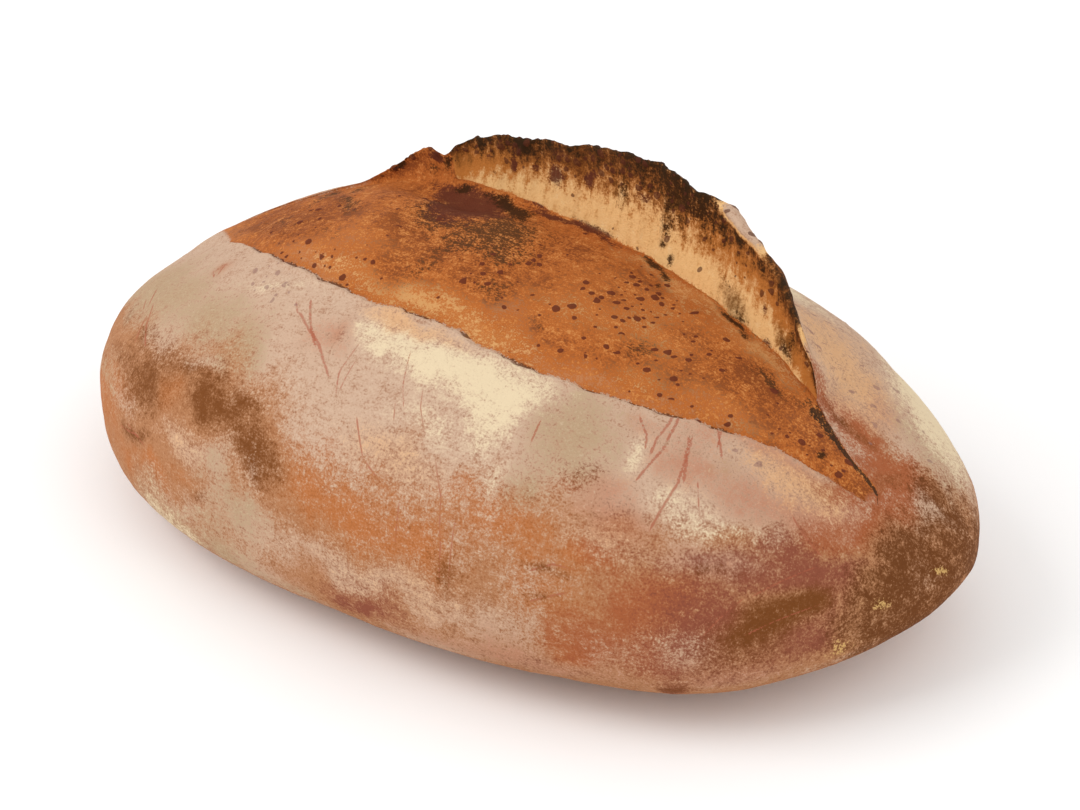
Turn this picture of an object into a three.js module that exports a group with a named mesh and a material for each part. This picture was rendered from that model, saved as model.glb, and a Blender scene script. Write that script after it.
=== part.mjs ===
// A hearth-baked sourdough batard: one long loaf, scored once along its top. The crust on the far
// side of the cut has lifted into an ear, and the crumb has burst up between the two edges of the cut.
// Millimetres and degrees. +X runs along the loaf, -Y is its front, +Z is up, and it rests on z = 0.
import * as THREE from "three";

// The loaf without its ear.
const LENGTH = 290;
const WIDTH = 171;
const CROWN_HEIGHT = 98.5;
const WIDEST_LEVEL = 32; // height of the bulge, where the loaf is widest
const LEVEL_RISE = 2.8; // the bulge sits this much higher at the right tip than at the middle
const FRONT_SHARE = 0.525; // share of the width in front of the long axis
const BOW = 3; // the middle bows this far forward
const FOOT_TRIM = 2.2; // the oven floor flattens this much of the rounded underside

// How squarely the loaf fills its box: 2 is an ellipse, and more is squarer. The peak is the station
// where the loaf is widest or tallest. Stations run from -1 at the left tip to 1 at the right one.
const PLAN = { left: 2.9, right: 2.2, peak: 0.01 };
const CROWN = { left: 1.8, right: 1.55, peak: -0.07 };
const KEEL_POWER = 3;
const FLANK_POWER = 2.43;
const DOME_POWER = 2.6;
const UNDERSIDE_POWER = 3.2;

// Gentle swells and hollows of the crust. Angles run from -90 at the underside over 0 at the front,
// 90 at the crown and 180 at the back.
const SWELLS = [
  { station: 0.75, angle: -10, reach: 0.22, spread: 45, height: 4.9 }, // right end of the front flank
  { station: 0.95, angle: 30, reach: 0.2, spread: 70, height: -9 }, // the right tip is drawn in
  { station: 0.8, angle: 120, reach: 0.25, spread: 45, height: -5.2 }, // shoulder behind the right tip
  { station: 0.45, angle: 120, reach: 0.25, spread: 45, height: -2 },
  { station: 0.58, angle: 128, reach: 0.13, spread: 22, height: 2 }, // behind the right end of the ear
  { station: -0.3, angle: 92, reach: 0.22, spread: 35, height: 3.2 }, // crown, left of the middle
  { station: -0.05, angle: 92, reach: 0.25, spread: 35, height: -2.1 },
  { station: -0.75, angle: 92, reach: 0.28, spread: 45, height: -4 }, // slope towards the left tip
];

const TIP_HOLD = 22; // the swells fade where the loaf is thinner than this, at its tips

// The cut, from its left end to its right end.
const SCORE = { from: -0.91, to: 0.845 };
const SCORE_ANGLE = { middle: 86.1, slope: -7.8, bend: -3.9 };
const GAPE = { front: 21, back: 17, least: 1.6 }; // degrees that the edges drew apart
// Where an edge strays up and over the loaf from that outline: here the height is in degrees.
const LIP_STRAYS = [
  { station: -0.7, reach: 0.14, height: 2.6 },
  { station: -0.35, reach: 0.2, height: 0.6 },
  { station: 0, reach: 0.12, height: 2.6 },
  { station: 0.3, reach: 0.25, height: 1.2 },
  { station: 0.66, reach: 0.17, height: 3 },
];
const ROOT_STRAYS = [
  { station: 0.7, reach: 0.06, height: -1.2 },
  { station: 0.8, reach: 0.06, height: -5 },
];
const LIP_HEIGHT = 1.4; // the front edge of the crust stands this proud of the burst crumb
const BLOOM_RISE = 2; // the burst crumb swells this much between the edges
const POCKET = { station: -0.26, reach: 0.17, depth: 5.5 }; // hollow under the left end of the ear

// The ear.
const EAR = { from: -0.54, to: 0.66 };
const EAR_HEIGHT = 26.5; // at its middle; it stands about 30 right of there
const EAR_LEAN = 0.7; // share by which the height grows from the middle to the right end
const EAR_TILT = 7; // degrees that it leans back
const RIM_THICKNESS = 2.8;
const FOLDS = [
  { station: 0.4, reach: 0.05, height: 3.4 }, // lumps of crust rolled back behind the rim
  { station: 0.51, reach: 0.045, height: 2.4 },
];
const FOOT_SPAN = 40; // degrees over which the back of the ear runs out into the far flank
const CRAGS = [
  { station: -0.4, reach: 0.06, height: 2.4 }, // short left lobe of the ear
  { station: -0.33, reach: 0.022, height: -2.6 }, // nick between the lobe and the rest
  { station: -0.22, reach: 0.07, height: 1.6 },
  { station: 0, reach: 0.03, height: -0.8 },
  { station: 0.31, reach: 0.025, height: -1 },
  { station: 0.56, reach: 0.04, height: -1 },
];
const RIDGE_HEIGHT = 2.2; // what is left of the ear where the cut stays nearly shut

// How finely the crust is divided.
const TIP_RINGS = 13;
const MIDDLE_RINGS = 60;
const MIDDLE_END = 0.75;
const RING_STEPS = {
  underside: 5,
  flank: 12,
  lip: 2,
  bloom: 11,
  earFront: 7,
  rim: 3,
  earBack: 9,
  farFlank: 6,
  undersideBack: 4,
};

const rad = THREE.MathUtils.degToRad;
const bell = (x) => Math.exp(-x * x);
const clamp01 = (x) => THREE.MathUtils.clamp(x, 0, 1);
const signedPower = (x, power) => Math.sign(x) * Math.abs(x) ** power;
const taper = (station, power) => Math.sqrt(clamp01(1 - Math.abs(station) ** power));

// Share of the full width or height that the loaf has at a station.
function sided(station, { left, right, peak }) {
  return station < peak
    ? taper((station - peak) / (1 + peak), left)
    : taper((station - peak) / (1 - peak), right);
}

// Sum of a list of bumps along the loaf.
function bumps(list, station) {
  return list.reduce((sum, { station: s, reach, height }) => sum + height * bell((station - s) / reach), 0);
}

// Distance that the swells lift the crust at a place.
function swellHeight(station, angle) {
  return SWELLS.reduce((sum, swell) => {
    const turn = THREE.MathUtils.euclideanModulo(angle - swell.angle + 180, 360) - 180;
    return sum + swell.height * bell((station - swell.station) / swell.reach) * bell(turn / swell.spread);
  }, 0);
}

// A point of the plain crust, lifted outwards, as a vector whose x is the way along the loaf.
function crustPoint(station, angle, lift = 0) {
  const across = Math.cos(rad(angle));
  const upward = Math.sin(rad(angle));
  const halfWidth = WIDTH * (across > 0 ? FRONT_SHARE : 1 - FRONT_SHARE) * sided(station, PLAN);
  const level = WIDEST_LEVEL + LEVEL_RISE * station;
  const reach =
    upward > 0
      ? (CROWN_HEIGHT - WIDEST_LEVEL) * sided(station, CROWN) * upward ** (2 / DOME_POWER)
      : -WIDEST_LEVEL * taper(station, KEEL_POWER) * (-upward) ** (2 / UNDERSIDE_POWER);
  const fromAxis = new THREE.Vector2(-halfWidth * signedPower(across, 2 / FLANK_POWER), reach);
  const hold = clamp01((level + reach) / 6) * clamp01(fromAxis.length() / TIP_HOLD);
  const out = fromAxis.clone().normalize();
  fromAxis.addScaledVector(out, swellHeight(station, angle) * hold + lift);
  const y = fromAxis.x - BOW * (1 - station * station);
  const z = Math.max(0, level + fromAxis.y - FOOT_TRIM);
  return new THREE.Vector3((LENGTH / 2) * station, y, z);
}

// Share of the way along the cut, and how far it is open there: 0 at its ends and 1 at its middle.
function scoreShare(station) {
  return (station - SCORE.from) / (SCORE.to - SCORE.from);
}

function openness(station) {
  const share = clamp01(scoreShare(station));
  return 4 * share * (1 - share);
}

// Angles of the two edges of the cut.
function scoreEdges(station) {
  const along = 2 * scoreShare(THREE.MathUtils.clamp(station, SCORE.from, SCORE.to)) - 1;
  const middle = SCORE_ANGLE.middle + SCORE_ANGLE.slope * along + SCORE_ANGLE.bend * along * along;
  const open = openness(station);
  const stray = Math.min(1, 3 * open); // both ends of the cut stay where they are
  return {
    lip: middle - GAPE.least - GAPE.front * open ** 1.2 + stray * bumps(LIP_STRAYS, station),
    root: middle + GAPE.least + GAPE.back * open ** 0.3 + stray * bumps(ROOT_STRAYS, station),
  };
}

// Height of the ear over its root, and of the low ridge that goes on beyond both of its ends.
function earHeight(station) {
  const share = clamp01((station - EAR.from) / (EAR.to - EAR.from));
  const lean = 1 + EAR_LEAN * (2 * share - 1);
  const tall = EAR_HEIGHT * (4 * share * (1 - share)) ** 0.67 * lean;
  const ripple = 0.4 * Math.sin(61 * station) + 0.3 * Math.sin(97 * station + 1);
  const crags = clamp01(tall / 6) * (bumps(CRAGS, station) + ripple);
  const ridge = RIDGE_HEIGHT * openness(station) ** 0.5;
  return Math.hypot(tall + crags, ridge);
}

// How thick the ear is at its rim.
function rimThickness(station, height) {
  return Math.min(RIM_THICKNESS + bumps(FOLDS, station), 0.4 * height + 1) * taper(station, 8);
}

// How far the burst crumb stands out of the plain crust, by the share of the way from lip to root.
function bloomLift(station, share) {
  const open = openness(station) ** 0.5;
  const swell = BLOOM_RISE * Math.sin(Math.PI * share);
  const underLip = -LIP_HEIGHT * bell(share / 0.12);
  const ripple = 0.6 * Math.sin(23 * station + 5 * share) * Math.sin(Math.PI * share);
  const pocket = bell((station - POCKET.station) / POCKET.reach) * bell((share - 0.84) / 0.16);
  return (swell + underLip + ripple) * open - POCKET.depth * pocket;
}

// Shares from 0 up to, but not including, 1.
const shares = (count) => Array.from({ length: count }, (_, i) => i / count);

// The burst crumb and the inside of the ear, from the front lip up to the rim.
function bloomPoints(station, edges) {
  return shares(RING_STEPS.bloom).map((share) =>
    crustPoint(station, edges.lip + (edges.root - edges.lip) * share, bloomLift(station, share)),
  );
}

// The ear stands on the root of the cut, turns over at its rim, and runs out into the far flank.
function earPoints(station, edges) {
  const height = earHeight(station);
  const thickness = rimThickness(station, height);
  const tall = clamp01(height / EAR_HEIGHT);
  const root = crustPoint(station, edges.root);
  const rise = new THREE.Vector3(0, Math.sin(rad(EAR_TILT)), Math.cos(rad(EAR_TILT)));
  const back = crustPoint(station, edges.root + 5).sub(root).normalize();
  const place = (up, behind) => root.clone().addScaledVector(rise, up).addScaledVector(back, behind);

  const shoulder = height - 0.25 * RIM_THICKNESS;
  const front = shares(RING_STEPS.earFront).map((share) =>
    place(shoulder * share, 0.07 * height * Math.sin(Math.PI * share)),
  );
  const drop = 0.6 * thickness - 0.75 * bumps(FOLDS, station);
  const rim = shares(RING_STEPS.rim).map((share) =>
    place(shoulder + 0.2 * thickness * Math.sin(Math.PI * share) - drop * share, thickness * share),
  );

  const foot = crustPoint(station, edges.root + FOOT_SPAN);
  const flankRise = crustPoint(station, edges.root + FOOT_SPAN - 2).sub(foot).normalize();
  const span = foot.distanceTo(root);
  const start = place(shoulder - drop, thickness);
  const descent = place(shoulder - 0.8 * height, thickness + (span / 3) * (1 - tall) + 2 * tall);
  const arrival = foot.clone().addScaledVector(flankRise, 0.38 * span);
  const backCurve = new THREE.CubicBezierCurve3(start, descent, arrival, foot);
  return [...front, ...rim, ...shares(RING_STEPS.earBack).map((share) => backCurve.getPoint(share))];
}

// One closed ring round the loaf, from the middle of the underside over the front and back again.
function ringPoints(station) {
  const edges = scoreEdges(station);
  const proud = openness(station) ** 0.5;
  const arc = (count, from, to) =>
    shares(count).map((share) => crustPoint(station, from + (to - from) * share));
  const footEnd = edges.root + FOOT_SPAN;
  return [
    ...arc(RING_STEPS.underside, -90, -30),
    ...arc(RING_STEPS.flank, -30, edges.lip - 2.4),
    ...shares(RING_STEPS.lip).map((share) =>
      crustPoint(station, edges.lip - 2.4 + 1.8 * share, 0.5 * LIP_HEIGHT * proud * share),
    ),
    ...bloomPoints(station, edges),
    ...earPoints(station, edges),
    ...arc(RING_STEPS.farFlank, footEnd, 212),
    ...arc(RING_STEPS.undersideBack, 212, 270),
  ];
}

// Stations from tip to tip: evenly spaced along the middle and closing up towards both tips.
function stations() {
  const edge = Math.asin(MIDDLE_END);
  const tip = Array.from({ length: TIP_RINGS }, (_, i) =>
    Math.sin(edge + ((Math.PI / 2 - edge) * (i + 1)) / (TIP_RINGS + 1)),
  );
  const middle = Array.from(
    { length: MIDDLE_RINGS + 1 },
    (_, i) => MIDDLE_END * ((2 * i) / MIDDLE_RINGS - 1),
  );
  return [...tip.map((s) => -s).reverse(), ...middle, ...tip];
}

// Joins the rings into one closed skin, with a fan of triangles at each tip.
function stitchRings(rings, tips) {
  const size = rings[0].length;
  const points = [...rings.flat(), ...tips];
  const index = [];
  for (let ring = 0; ring < rings.length - 1; ring++) {
    for (let i = 0; i < size; i++) {
      const a = ring * size + i;
      const b = ring * size + ((i + 1) % size);
      index.push(a, a + size, b, b, a + size, b + size);
    }
  }
  const last = (rings.length - 1) * size;
  const [leftTip, rightTip] = [points.length - 2, points.length - 1];
  for (let i = 0; i < size; i++) {
    const next = (i + 1) % size;
    index.push(leftTip, i, next);
    index.push(rightTip, last + next, last + i);
  }
  const geometry = new THREE.BufferGeometry().setFromPoints(points);
  geometry.setIndex(index);
  return geometry;
}

function loafGeometry() {
  const tips = [-1, 1].map(
    (end) => new THREE.Vector3((end * LENGTH) / 2, 0, WIDEST_LEVEL + LEVEL_RISE * end - FOOT_TRIM),
  );
  const geometry = stitchRings(stations().map(ringPoints), tips);
  geometry.computeBoundingBox();
  const centre = geometry.boundingBox.getCenter(new THREE.Vector3());
  geometry.translate(-centre.x, -centre.y, 0);
  geometry.computeVertexNormals();
  return geometry;
}

const crust = new THREE.MeshStandardMaterial({ color: 0xb9815a, roughness: 0.85, metalness: 0 });
const loaf = new THREE.Mesh(loafGeometry(), crust);
loaf.name = "loaf";

const bread = new THREE.Group();
bread.add(loaf);

export default bread;
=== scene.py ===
import math
import bpy
import numpy as np
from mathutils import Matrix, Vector


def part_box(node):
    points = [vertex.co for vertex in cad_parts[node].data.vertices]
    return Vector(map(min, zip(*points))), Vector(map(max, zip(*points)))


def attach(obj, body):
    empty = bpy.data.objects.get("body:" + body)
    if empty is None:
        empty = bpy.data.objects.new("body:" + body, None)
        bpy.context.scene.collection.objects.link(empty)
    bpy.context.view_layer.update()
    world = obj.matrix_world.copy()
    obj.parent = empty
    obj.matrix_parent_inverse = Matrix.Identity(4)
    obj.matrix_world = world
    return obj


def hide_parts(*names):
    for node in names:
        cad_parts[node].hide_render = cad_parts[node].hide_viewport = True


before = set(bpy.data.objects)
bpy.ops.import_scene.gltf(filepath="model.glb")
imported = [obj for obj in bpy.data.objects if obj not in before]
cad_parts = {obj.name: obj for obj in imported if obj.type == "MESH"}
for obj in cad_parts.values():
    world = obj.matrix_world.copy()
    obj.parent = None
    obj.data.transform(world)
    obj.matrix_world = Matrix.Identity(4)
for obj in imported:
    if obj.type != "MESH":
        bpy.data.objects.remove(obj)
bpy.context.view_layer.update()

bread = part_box("loaf")
mm = 0.001

# the camera looks down on the front and the right end of the loaf
cameraSetup = {
    "azimuth": 32.9,      # degrees to the right of the loaf's front
    "elevation": 32,
    "distance": 771,      # mm from the pivot
    "pivot": (0, 7.3, 47.8),
    "aimRight": 3.4,      # mm off the pivot, in the picture plane
    "aimUp": -7.65,
    "lens": 85,
    "sensor": 36,
}


def placeCamera(setup):
    a, e = math.radians(setup["azimuth"]), math.radians(setup["elevation"])
    back = Vector((math.sin(a) * math.cos(e), -math.cos(a) * math.cos(e), math.sin(e)))
    right = Vector((math.cos(a), math.sin(a), 0))
    up = back.cross(right)
    pivot = Vector(setup["pivot"]) * mm
    eye = pivot + back * setup["distance"] * mm
    aim = pivot + (right * setup["aimRight"] + up * setup["aimUp"]) * mm
    lens = bpy.data.cameras.new("studioCamera")
    lens.lens = setup["lens"]
    lens.sensor_width = setup["sensor"]
    lens.clip_start, lens.clip_end = 0.05, 20
    camera = bpy.data.objects.new("studioCamera", lens)
    camera.location = eye
    camera.rotation_euler = (aim - eye).to_track_quat("-Z", "Y").to_euler()
    bpy.context.scene.collection.objects.link(camera)
    bpy.context.scene.camera = camera


placeCamera(cameraSetup)
print("camera placed")


def linear(code):
    # an sRGB hex colour as the linear one that the shaders want
    values = [int(code[i:i + 2], 16) / 255 for i in (1, 3, 5)]
    return tuple(v / 12.92 if v <= 0.04045 else ((v + 0.055) / 1.055) ** 2.4 for v in values) + (1,)


def add(tree, kind, links=None, **settings):
    # adds a node; links maps a socket's name or number to a value or to another node's output
    node = tree.nodes.new(kind)
    for key, value in settings.items():
        setattr(node, key, value)
    for key, value in (links or {}).items():
        socket = node.inputs[key]
        if isinstance(value, bpy.types.NodeSocket):
            tree.links.new(value, socket)
        else:
            socket.default_value = value
    return node


# The loaf is drawn in millimetres and degrees. Stations run from -1 at the left tip to 1 at the right one;
# angles run from -90 at the underside over 0 at the front, 90 at the crown and 180 at the back.
loafForm = {
    "length": 290, "width": 171, "crownHeight": 98.5, "widestLevel": 32, "levelRise": 2.8,
    "frontShare": 0.525, "bow": 3, "footTrim": 2.2, "tipHold": 22,
    # how squarely the plan and the crown fill their box to the left and right of their peak station
    "plan": (2.9, 2.2, 0.01), "crown": (1.8, 1.55, -0.07), "keelPower": 3,
    "flankPower": 2.43, "domePower": 2.6, "undersidePower": 3.2,
    # station, angle, reach, spread and height of each swell
    "swells": [
        (0.75, -10, 0.22, 45, 4.9), (0.95, 30, 0.2, 70, -9), (0.8, 120, 0.25, 45, -5.2),
        (0.45, 120, 0.25, 45, -2), (0.58, 128, 0.13, 22, 2), (-0.3, 92, 0.22, 35, 3.2),
        (-0.05, 92, 0.25, 35, -2.1), (-0.75, 92, 0.28, 45, -4),
    ],
}
scoreForm = {
    "start": -0.91, "end": 0.845, "middle": 86.1, "slope": -7.8, "bend": -3.9,
    "gapeFront": 21, "gapeBack": 17, "gapeLeast": 1.6,
    # the lip stands up by a share of its height, over these degrees before the cut, and behind it the crumb
    # lies that height lower over a share of its width
    "lipHeight": 1.5, "lipShare": 0.7, "lipDegrees": (2.4, 0.35), "underLip": 0.12,
    # height of the crumb's ripple, and its radians per station and per share
    "bloomRise": 2, "bloomRipple": (0.6, 23, 5),
    "pocketStation": -0.26, "pocketReach": 0.17, "pocketShare": 0.84, "pocketWidth": 0.16,
    "pocketDepth": 5.5,
    # station, reach and degrees by which an edge strays up and over the loaf
    "lipStrays": [(-0.7, 0.14, 2.6), (-0.35, 0.2, 0.6), (0, 0.12, 2.6), (0.3, 0.25, 1.2), (0.66, 0.17, 3)],
    "rootStrays": [(0.7, 0.06, -1.2), (0.8, 0.06, -5)],
    "ragged": 0.5,        # degrees that both edges wander where the crust tore
}
earForm = {
    "start": -0.54, "end": 0.66, "height": 26.5, "lean": 0.7, "tilt": 7, "rimThickness": 2.8,
    "footSpan": 40, "ridgeHeight": 2.2,
    # as shares: how far the shoulders lie below the top, how far the rim falls to the back and how much of
    # that a fold fills up, its arch, the belly of the inside, and the handles of the curve down the back
    "shoulder": 0.25, "fall": 0.6, "fill": 0.75, "arch": 0.2, "belly": 0.07, "descent": 0.8, "arrival": 0.38,
    # station, reach and height of each lump behind the rim and of each crag on it
    "folds": [(0.4, 0.05, 3.4), (0.51, 0.045, 2.4)],
    "crags": [(-0.4, 0.06, 2.4), (-0.33, 0.022, -2.6), (-0.22, 0.07, 1.6), (0, 0.03, -0.8),
              (0.31, 0.025, -1), (0.56, 0.04, -1)],
    # height, radians per station and start of each ripple along the rim
    "ripples": [(0.25, 61, 0), (0.15, 97, 1)],
    "ragged": 0.15,       # mm that the torn rim wanders beyond its crags
    "shutBelow": 1.2,     # mm of height below which the ear sinks into the crust
    "shutSpans": (5, 2),  # degrees that its inside and its rim take up there
}
ringSteps = {
    "underside": 10, "flank": 72, "lip": 4, "bloom": 56, "earFront": 28, "rim": 6,
    "earBack": 26, "farFlank": 30, "undersideBack": 8,
}
ringCounts = {"middle": 318, "tip": 38, "middleEnd": 0.75}
footAngles = (-30, 212)   # where the front and the far flank turn under


def bell(x):
    return np.exp(-x * x)


def clamp01(x):
    return np.clip(x, 0.0, 1.0)


def smooth(x, low, high):
    t = clamp01((x - low) / (high - low))
    return t * t * (3 - 2 * t)


def wander(x, wavelength, seed, y=0):
    # smooth unevenness between about -1 and 1
    rng = np.random.default_rng(seed)
    total = 0
    for octave in (1, 1.7, 2.9, 5.1):
        phase, stretch, slant = rng.uniform(0, 2 * math.pi), rng.uniform(0.85, 1.15), rng.uniform(-1, 1)
        turn = 2 * math.pi * octave * (stretch * x + slant * y) / wavelength
        total = total + np.sin(turn + phase) / octave ** 0.7
    return total / 2


def taper(station, power):
    return np.sqrt(clamp01(1 - np.abs(station) ** power))


def sided(station, shape):
    left, right, peak = shape
    return np.where(station < peak, taper((station - peak) / (1 + peak), left),
                    taper((station - peak) / (1 - peak), right))


def bumps(places, station):
    return sum(height * bell((station - at) / reach) for at, reach, height in places)


def swellHeight(station, angle):
    total = 0
    for at, turn, reach, spread, height in loafForm["swells"]:
        away = (angle - turn + 180) % 360 - 180
        total = total + height * bell((station - at) / reach) * bell(away / spread)
    return total


def crustPoint(station, angle, lift=0):
    f = loafForm
    across, upward = np.cos(np.radians(angle)), np.sin(np.radians(angle))
    share = np.where(across > 0, f["frontShare"], 1 - f["frontShare"])
    wide = f["width"] * share * sided(station, f["plan"])
    y = -wide * np.sign(across) * np.abs(across) ** (2 / f["flankPower"])
    level = f["widestLevel"] + f["levelRise"] * station
    tall = (f["crownHeight"] - f["widestLevel"]) * sided(station, f["crown"])
    over = tall * np.abs(upward) ** (2 / f["domePower"])
    under = -f["widestLevel"] * taper(station, f["keelPower"]) * np.abs(upward) ** (2 / f["undersidePower"])
    z = np.where(upward > 0, over, under)
    length = np.maximum(np.hypot(y, z), 1e-6)
    hold = clamp01((level + z) / 6) * clamp01(length / f["tipHold"])
    grow = 1 + (swellHeight(station, angle) * hold + lift) / length
    y, z = y * grow, z * grow
    x = f["length"] / 2 * station + 0 * y
    return np.stack([x, y - f["bow"] * (1 - station ** 2), np.maximum(0, level + z - f["footTrim"])], -1)


def openness(station):
    # how far the cut is open: 0 at its ends and 1 at its middle
    share = clamp01((station - scoreForm["start"]) / (scoreForm["end"] - scoreForm["start"]))
    return 4 * share * (1 - share)


def scoreEdges(station):
    f = scoreForm
    along = 2 * clamp01((station - f["start"]) / (f["end"] - f["start"])) - 1
    middle = f["middle"] + f["slope"] * along + f["bend"] * along ** 2
    opened = openness(station)
    stray = np.minimum(1, 3 * opened)
    x = station * loafForm["length"] / 2
    lip = middle - f["gapeLeast"] - f["gapeFront"] * opened ** 1.2
    root = middle + f["gapeLeast"] + f["gapeBack"] * opened ** 0.3
    lip = lip + stray * (bumps(f["lipStrays"], station) + f["ragged"] * wander(x, 17, 3))
    root = root + stray * (bumps(f["rootStrays"], station) + f["ragged"] * wander(x, 23, 4))
    return lip, root


def earHeight(station):
    f = earForm
    share = clamp01((station - f["start"]) / (f["end"] - f["start"]))
    tall = f["height"] * (4 * share * (1 - share)) ** 0.67 * (1 + f["lean"] * (2 * share - 1))
    ripple = sum(rise * np.sin(turns * station + start) for rise, turns, start in f["ripples"])
    ripple = ripple + f["ragged"] * wander(station * loafForm["length"] / 2, 9, 5)
    crags = clamp01(tall / 6) * (bumps(f["crags"], station) + ripple)
    return np.hypot(tall + crags, f["ridgeHeight"] * openness(station) ** 0.5)


def rimThickness(station, height):
    return np.minimum(earForm["rimThickness"] + bumps(earForm["folds"], station),
                      0.4 * height + 1) * taper(station, 8)


def bloomLift(station, share):
    f = scoreForm
    arch = np.sin(np.pi * share)
    swell = f["bloomRise"] * arch
    underLip = -f["lipHeight"] * bell(share / f["underLip"])
    height, perStation, perShare = f["bloomRipple"]
    ripple = height * np.sin(perStation * station + perShare * share) * arch
    pocket = bell((station - f["pocketStation"]) / f["pocketReach"])
    pocket = pocket * bell((share - f["pocketShare"]) / f["pocketWidth"])
    return (swell + underLip + ripple) * openness(station) ** 0.5 - f["pocketDepth"] * pocket


def unit(v):
    return v / np.maximum(np.linalg.norm(v, axis=-1, keepdims=True), 1e-9)


def earParts(station, front, rim, behind):
    # the torn inside of the ear, its rim, and the crust behind it down to the far flank
    f = earForm
    height = earHeight(station)
    thickness = rimThickness(station, height)
    tall = clamp01(height / f["height"])
    edge = scoreEdges(station)[1]
    root = crustPoint(station, edge)
    tilt = math.radians(f["tilt"])
    rise = np.array([0, math.sin(tilt), math.cos(tilt)])
    back = unit(crustPoint(station, edge + 5) - root)

    def place(up, behindBy):
        return root + rise * np.asarray(up)[..., None] + back * np.asarray(behindBy)[..., None]

    shoulder = height - f["shoulder"] * f["rimThickness"]
    drop = f["fall"] * thickness - f["fill"] * bumps(f["folds"], station)
    inside = place(shoulder * front, f["belly"] * height * np.sin(np.pi * front))
    arch = f["arch"] * thickness * np.sin(np.pi * rim)
    top = place(shoulder + arch - drop * rim, thickness * rim)
    foot = crustPoint(station, edge + f["footSpan"])
    flankRise = unit(crustPoint(station, edge + f["footSpan"] - 2) - foot)
    span = np.linalg.norm(foot - root, axis=-1)
    start = place(shoulder - drop, thickness)
    descent = place(shoulder - f["descent"] * height, thickness + span / 3 * (1 - tall) + 2 * tall)
    arrival = foot + flankRise * (f["arrival"] * span)[..., None]
    t = behind[..., None]
    outside = ((1 - t) ** 3 * start + 3 * (1 - t) ** 2 * t * descent
               + 3 * (1 - t) * t * t * arrival + t ** 3 * foot)

    # past the ends of the cut there is no ear, and its points lie evenly on the plain crust
    shut = (1 - smooth(height, 0, f["shutBelow"]))[..., None]
    frontSpan, rimSpan = f["shutSpans"]
    backSpan = f["footSpan"] - frontSpan - rimSpan
    plain = [edge + frontSpan * front, edge + frontSpan + rimSpan * rim,
             edge + frontSpan + rimSpan + backSpan * behind]
    shaped = (inside, top, outside)
    return [part + shut * (crustPoint(station, flat) - part) for part, flat in zip(shaped, plain)]


def stationList():
    # evenly spaced along the middle and closing up towards both tips
    c = ringCounts
    edge = math.asin(c["middleEnd"])
    tip = np.sin(edge + (math.pi / 2 - edge) * np.arange(1, c["tip"] + 1) / (c["tip"] + 1))
    middle = c["middleEnd"] * (2 * np.arange(c["middle"] + 1) / c["middle"] - 1)
    return np.concatenate([-tip[::-1], middle, tip])


def loafRings():
    # the points of every ring, and for each point its zone, its share of the way through it, and its angle
    n = ringSteps
    s = stationList()[:, None]
    lip, root = scoreEdges(s)
    proud = openness(s) ** 0.5
    lipStart, lipEnd = [lip - degrees for degrees in scoreForm["lipDegrees"]]
    lipRise = scoreForm["lipShare"] * scoreForm["lipHeight"] * proud
    frontFoot, backFoot = footAngles
    earFoot = root + earForm["footSpan"]
    pieces = []
    # zone, the angles where it starts and ends, how its steps close up, and how far it rises to its end
    arcs = [
        ("underside", -90, frontFoot, 1, 0), ("flank", frontFoot, lipStart, 0.9, 0),
        ("lip", lipStart, lipEnd, 1, lipRise), ("bloom", lip, root, 1, 0),
        ("earFront", root, root, 1, 0), ("rim", root, root, 1, 0), ("earBack", root, earFoot, 1, 0),
        ("farFlank", earFoot, backFoot, 1, 0), ("undersideBack", backFoot, 270, 1, 0),
    ]
    for name, start, end, warp, lift in arcs:
        t = (np.arange(n[name])[None, :] / n[name] + 0 * s) ** warp
        angle = start + (end - start) * t
        if name in ("earFront", "rim", "earBack"):
            part = ("earFront", "rim", "earBack").index(name)
            points = earParts(s + 0 * t, *[t if k == part else 0 * t for k in range(3)])[part]
        else:
            raised = bloomLift(s + 0 * t, t) if name == "bloom" else lift * t
            points = crustPoint(s + 0 * t, angle, raised)
        pieces.append((np.full(t.shape, name, "U13"), points, t, angle))
    zone, points, share, angle = [np.concatenate([p[k] for p in pieces], 1) for k in range(4)]
    return points, zone, share, angle, s + 0 * share


def stitch(name, rings, tips):
    count, size = rings.shape[:2]
    points = np.concatenate([rings.reshape(-1, 3), tips])
    ring = np.arange(count - 1)[:, None] * size
    here = np.arange(size)[None, :]
    beside = (here + 1) % size
    corners = [ring + here, ring + here + size, ring + beside + size, ring + beside]
    quads = np.stack(corners, -1).reshape(-1, 4)
    here, beside = here[0], beside[0]
    last = (count - 1) * size
    leftFan = np.stack([np.full(size, count * size), here, beside], -1)
    rightFan = np.stack([np.full(size, count * size + 1), last + beside, last + here], -1)
    mesh = bpy.data.meshes.new(name)
    mesh.from_pydata(points.tolist(), [], quads.tolist() + leftFan.tolist() + rightFan.tolist())
    mesh.update()
    return mesh


rings, zone, share, angle, station = loafRings()
tipLevel = loafForm["widestLevel"] - loafForm["footTrim"]
tips = np.array([[side * loafForm["length"] / 2, 0, tipLevel + side * loafForm["levelRise"]]
                 for side in (-1, 1)])
centre = (rings.reshape(-1, 3).min(0) + rings.reshape(-1, 3).max(0)) / 2
cadCentre = (np.array(bread[0]) + np.array(bread[1])) / 2
shift = np.array([cadCentre[0] / mm - centre[0], cadCentre[1] / mm - centre[1], bread[0][2] / mm])
rings, tips = (rings + shift) * mm, (tips + shift) * mm
mesh = stitch("loafCrust", rings, tips)
loaf = bpy.data.objects.new("loafCrust", mesh)
bpy.context.scene.collection.objects.link(loaf)
print("form built:", len(mesh.vertices), "points,", len(mesh.polygons), "faces")

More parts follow.
